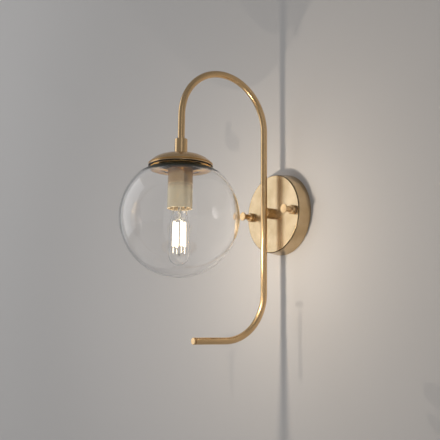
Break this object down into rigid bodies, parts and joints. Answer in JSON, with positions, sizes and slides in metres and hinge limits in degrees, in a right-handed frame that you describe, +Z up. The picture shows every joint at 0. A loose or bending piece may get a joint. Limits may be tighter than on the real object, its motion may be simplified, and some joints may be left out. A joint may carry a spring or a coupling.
{
  "type": "globe wall sconce",
  "caption": "Wall sconce: bent tube with a hook at the top on a round canopy, clear glass globe hung from the hook around a filament bulb.",
  "frame": {"origin": "on the wall, at the middle of the round canopy", "axes": "+Y into the wall, -Y out into the room, +Z up"},
  "size_m": [0.1524, 0.2492, 0.3667],
  "materials": {
    "brass": "satin lacquered champagne brass",
    "plain_brass": "machined",
    "zinc_steel": "zinc plated",
    "green_screw": "green dyed zinc",
    "clear_glass": "clear blown glass",
    "bulb_glass": "clear thin glass",
    "silicone": "translucent silicone",
    "nylon": "natural nylon",
    "moulding": "moulded phenolic",
    "bronze": "phosphor bronze strip",
    "insulator": "black vitrified insulator",
    "solder": "tinned",
    "filament": "phosphor coated, lit",
    "lead_wire": "nickel wire",
    "wire_black": "PVC insulation",
    "wire_white": "PVC insulation",
    "wire_green": "PVC insulation"
  },
  "bodies": {
    "fixture": {"canopy": "brass", "arm_stub": "brass", "arm_tube": "brass", "arm_end_plug": "brass", "arm_collar": "brass", "fitter_cap": "brass", "socket_cup": "brass", "canopy_nut": "plain_brass", "cap_nut": "plain_brass", "cup_nut": "plain_brass", "stub_pipe": "plain_brass", "lamp_pipe": "plain_brass", "screw_shell": "plain_brass", "glass_gallery": "plain_brass", "crossbar": "zinc_steel", "mounting_studs": "zinc_steel", "stud_nuts": "zinc_steel", "canopy_washer": "zinc_steel", "ground_lugs": "zinc_steel", "collar_grub_screw": "zinc_steel", "ground_screw": "green_screw", "wire_bushing": "nylon", "holder_cap": "moulding", "holder_body": "moulding", "centre_contact": "bronze", "live_wire": "wire_black", "neutral_wire": "wire_white", "ground_wire": "wire_green"},
    "knob_washer_left_body": {"knob_washer_left": "nylon"},
    "knob_left_body": {"knob_left": "brass"},
    "knob_washer_right_body": {"knob_washer_right": "nylon"},
    "knob_right_body": {"knob_right": "brass"},
    "seal_body": {"globe_seal": "silicone"},
    "globe_body": {"glass_globe": "clear_glass"},
    "bulb_tip_body": {"bulb_tip_contact": "solder"},
    "bulb_body": {"bulb_base": "plain_brass", "bulb_insulator": "insulator", "bulb_glass": "bulb_glass", "bulb_stem": "bulb_glass", "led_filaments": "filament", "bulb_leads": "lead_wire"}
  },
  "joints": [
    {"name": "knob_left_travel", "type": "slide", "parent": "fixture", "child": "knob_washer_left_body", "axis": [0, -1, 0], "range_m": [0, 0.00794]},
    {"name": "knob_left_unscrew", "type": "hinge", "parent": "knob_washer_left_body", "child": "knob_left_body", "pos_m": [-0.04445, -0.03, 0], "axis": [0, -1, 0], "range_deg": [0, 3600]},
    {"name": "knob_right_travel", "type": "slide", "parent": "fixture", "child": "knob_washer_right_body", "axis": [0, -1, 0], "range_m": [0, 0.00794]},
    {"name": "knob_right_unscrew", "type": "hinge", "parent": "knob_washer_right_body", "child": "knob_right_body", "pos_m": [0.04445, -0.03, 0], "axis": [0, -1, 0], "range_deg": [0, 3600]},
    {"name": "globe_travel", "type": "slide", "parent": "fixture", "child": "seal_body", "axis": [0, 0, -1], "range_m": [0, 0.007]},
    {"name": "globe_unscrew", "type": "hinge", "parent": "seal_body", "child": "globe_body", "pos_m": [0, -0.173, 0.05], "axis": [0, 0, -1], "range_deg": [0, 630]},
    {"name": "bulb_travel", "type": "slide", "parent": "fixture", "child": "bulb_tip_body", "axis": [0, 0, -1], "range_m": [0, 0.01016]},
    {"name": "bulb_unscrew", "type": "hinge", "parent": "bulb_tip_body", "child": "bulb_body", "pos_m": [0, -0.173, 0.01], "axis": [0, 0, -1], "range_deg": [0, 1440]}
  ],
  "couplings": [
    {"joint": "knob_left_unscrew", "follows": "knob_left_travel", "rad_per_m": 7913.3},
    {"joint": "knob_right_unscrew", "follows": "knob_right_travel", "rad_per_m": 7913.3},
    {"joint": "globe_unscrew", "follows": "globe_travel", "rad_per_m": 1570.8},
    {"joint": "bulb_unscrew", "follows": "bulb_travel", "rad_per_m": 2473.7}
  ]
}
